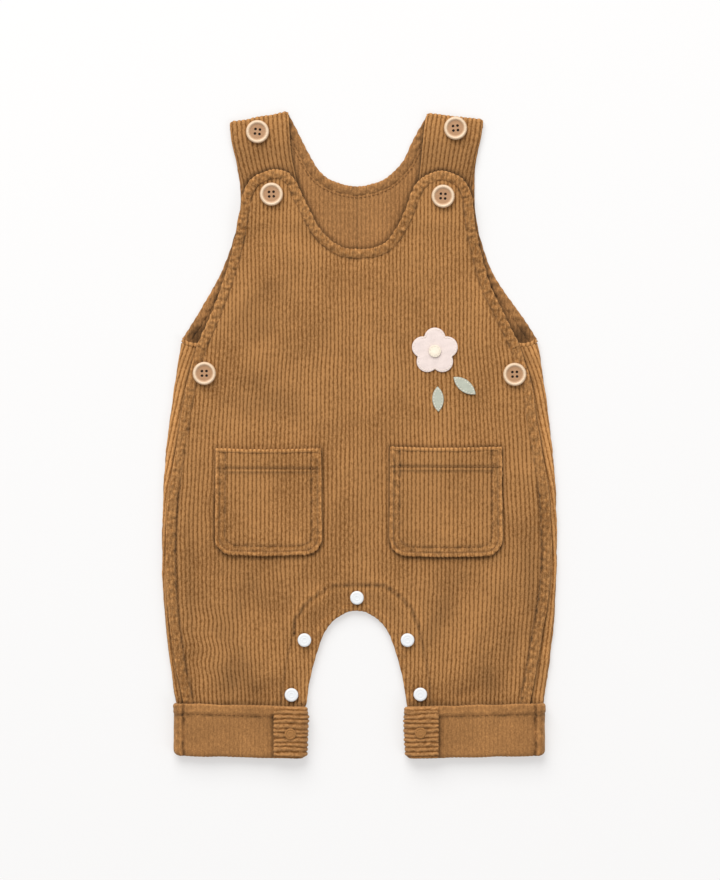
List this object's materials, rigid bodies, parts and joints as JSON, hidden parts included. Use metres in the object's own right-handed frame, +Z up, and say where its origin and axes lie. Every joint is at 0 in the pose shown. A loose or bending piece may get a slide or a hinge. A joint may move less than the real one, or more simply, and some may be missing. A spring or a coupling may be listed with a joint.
{
  "type": "toddler overalls",
  "caption": "Corduroy toddler overalls laid flat: bib front over a wrapped back, straps folded forward and buttoned, patch pockets, snap crotch and turned-up cuffs.",
  "frame": {"origin": "on the table, under the middle of the garment's length and width", "axes": "+Y from the cuffs to the neck, +X to the viewer's right seen from above, +Z up from the table"},
  "size_m": [0.2964, 0.4862, 0.0134],
  "materials": {
    "corduroy": "brown corduroy of about 8 wales to the inch, soft pile",
    "cloth_wrong_side": "plain wrong side of the corduroy, matt",
    "button_wood": "turned pale wood with a raised cream rim, satin",
    "snap_white": "white moulded plastic cap",
    "snap_brown": "brown moulded plastic socket",
    "patch_pink": "pale pink felt with a cream stitched edge",
    "patch_cream": "cream felt",
    "patch_green": "sage green felt"
  },
  "bodies": {
    "root": {"front": "corduroy", "back": "corduroy", "pocket_left": "corduroy", "pocket_right": "corduroy", "cuff_left": "cloth_wrong_side", "cuff_right": "cloth_wrong_side", "cuff_facing_left": "corduroy", "cuff_facing_right": "corduroy", "button_strap_left": "button_wood", "button_strap_right": "button_wood", "button_bib_left": "button_wood", "button_bib_right": "button_wood", "button_side_left": "button_wood", "button_side_right": "button_wood", "snap_crotch": "snap_white", "snap_leg_left_upper": "snap_white", "snap_leg_right_upper": "snap_white", "snap_leg_left_lower": "snap_white", "snap_leg_right_lower": "snap_white", "snap_cuff_left": "snap_brown", "snap_cuff_right": "snap_brown", "patch_flower": "patch_pink", "patch_centre": "patch_cream", "patch_leaf_1": "patch_green", "patch_leaf_2": "patch_green"}
  },
  "joints": []
}
